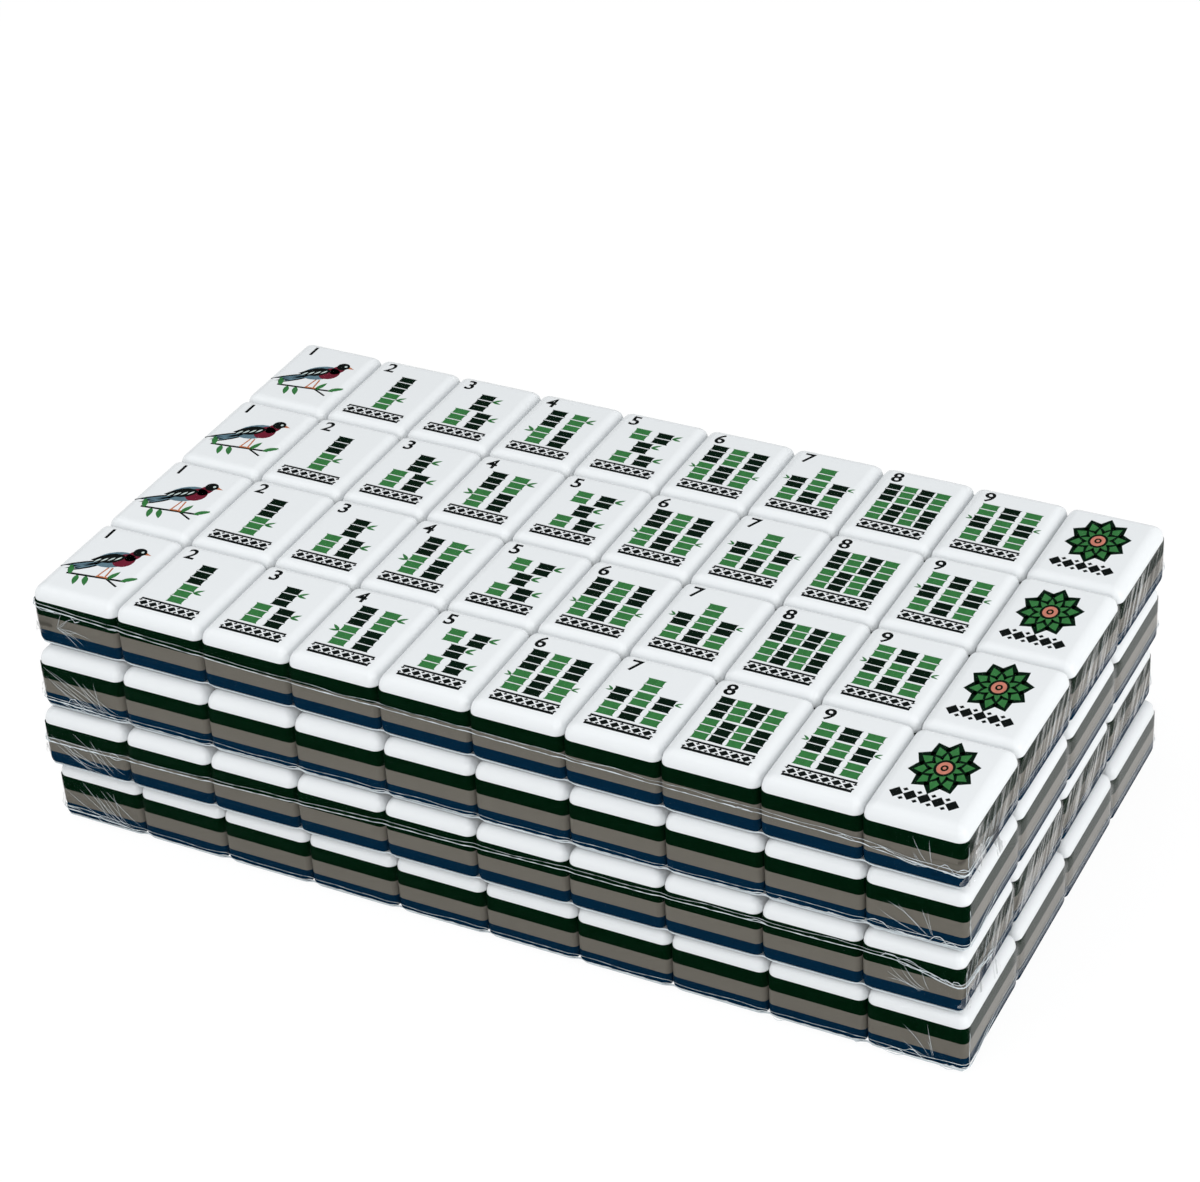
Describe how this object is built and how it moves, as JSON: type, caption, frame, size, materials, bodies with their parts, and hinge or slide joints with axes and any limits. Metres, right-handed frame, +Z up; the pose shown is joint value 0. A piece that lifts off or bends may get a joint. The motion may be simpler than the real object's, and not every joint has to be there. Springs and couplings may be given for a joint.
{
  "type": "shrink-wrapped mahjong tile stack",
  "caption": "Oblong stack of four shrink-wrapped packs of laminated mahjong tiles, ten by four tiles in each, top faces engraved with canes and numerals.",
  "frame": {"origin": "middle of the bottom pack's underside", "axes": "+X along the ten kinds of tile from the one towards the dragon, +Y from the foot of the pictures to their heads, +Z up"},
  "size_m": [0.228, 0.1257, 0.0621],
  "materials": {
    "white_melamine": "moulded melamine, polished to a soft gloss",
    "green_melamine": "moulded melamine, polished",
    "grey_melamine": "moulded melamine, polished",
    "blue_melamine": "moulded melamine, polished",
    "green_paint": "paint in the engraving",
    "black_paint": "paint in the engraving",
    "shrink_film": "clear shrink film"
  },
  "bodies": {
    "bottom_pack": {"east_wind_faces": "white_melamine", "south_wind_faces": "white_melamine", "west_wind_faces": "white_melamine", "north_wind_faces": "white_melamine", "flower_faces": "white_melamine", "joker_faces": "white_melamine", "blank_faces": "white_melamine", "honour_green_layers": "green_melamine", "honour_grey_layers": "grey_melamine", "honour_blue_backs": "blue_melamine", "honour_film": "shrink_film"},
    "lower_pack": {"character_1_faces": "white_melamine", "character_2_faces": "white_melamine", "character_3_faces": "white_melamine", "character_4_faces": "white_melamine", "character_5_faces": "white_melamine", "character_6_faces": "white_melamine", "character_7_faces": "white_melamine", "character_8_faces": "white_melamine", "character_9_faces": "white_melamine", "red_dragon_faces": "white_melamine", "character_green_layers": "green_melamine", "character_grey_layers": "grey_melamine", "character_blue_backs": "blue_melamine", "character_film": "shrink_film"},
    "upper_pack": {"circle_1_faces": "white_melamine", "circle_2_faces": "white_melamine", "circle_3_faces": "white_melamine", "circle_4_faces": "white_melamine", "circle_5_faces": "white_melamine", "circle_6_faces": "white_melamine", "circle_7_faces": "white_melamine", "circle_8_faces": "white_melamine", "circle_9_faces": "white_melamine", "white_dragon_faces": "white_melamine", "circle_green_layers": "green_melamine", "circle_grey_layers": "grey_melamine", "circle_blue_backs": "blue_melamine", "circle_film": "shrink_film"},
    "top_pack": {"bamboo_1_faces": "white_melamine", "bamboo_2_faces": "white_melamine", "bamboo_3_faces": "white_melamine", "bamboo_4_faces": "white_melamine", "bamboo_5_faces": "white_melamine", "bamboo_6_faces": "white_melamine", "bamboo_7_faces": "white_melamine", "bamboo_8_faces": "white_melamine", "bamboo_9_faces": "white_melamine", "green_dragon_faces": "white_melamine", "bamboo_green_canes": "green_paint", "bamboo_black_canes": "black_paint", "bamboo_green_layers": "green_melamine", "bamboo_grey_layers": "grey_melamine", "bamboo_blue_backs": "blue_melamine", "bamboo_film": "shrink_film"}
  },
  "joints": [
    {"name": "lower_pack_lift", "type": "slide", "parent": "bottom_pack", "child": "lower_pack", "axis": [0, 0, 1], "range_m": [0, 0.05]},
    {"name": "upper_pack_lift", "type": "slide", "parent": "lower_pack", "child": "upper_pack", "axis": [0, 0, 1], "range_m": [0, 0.05]},
    {"name": "top_pack_lift", "type": "slide", "parent": "upper_pack", "child": "top_pack", "axis": [0, 0, 1], "range_m": [0, 0.05]}
  ]
}
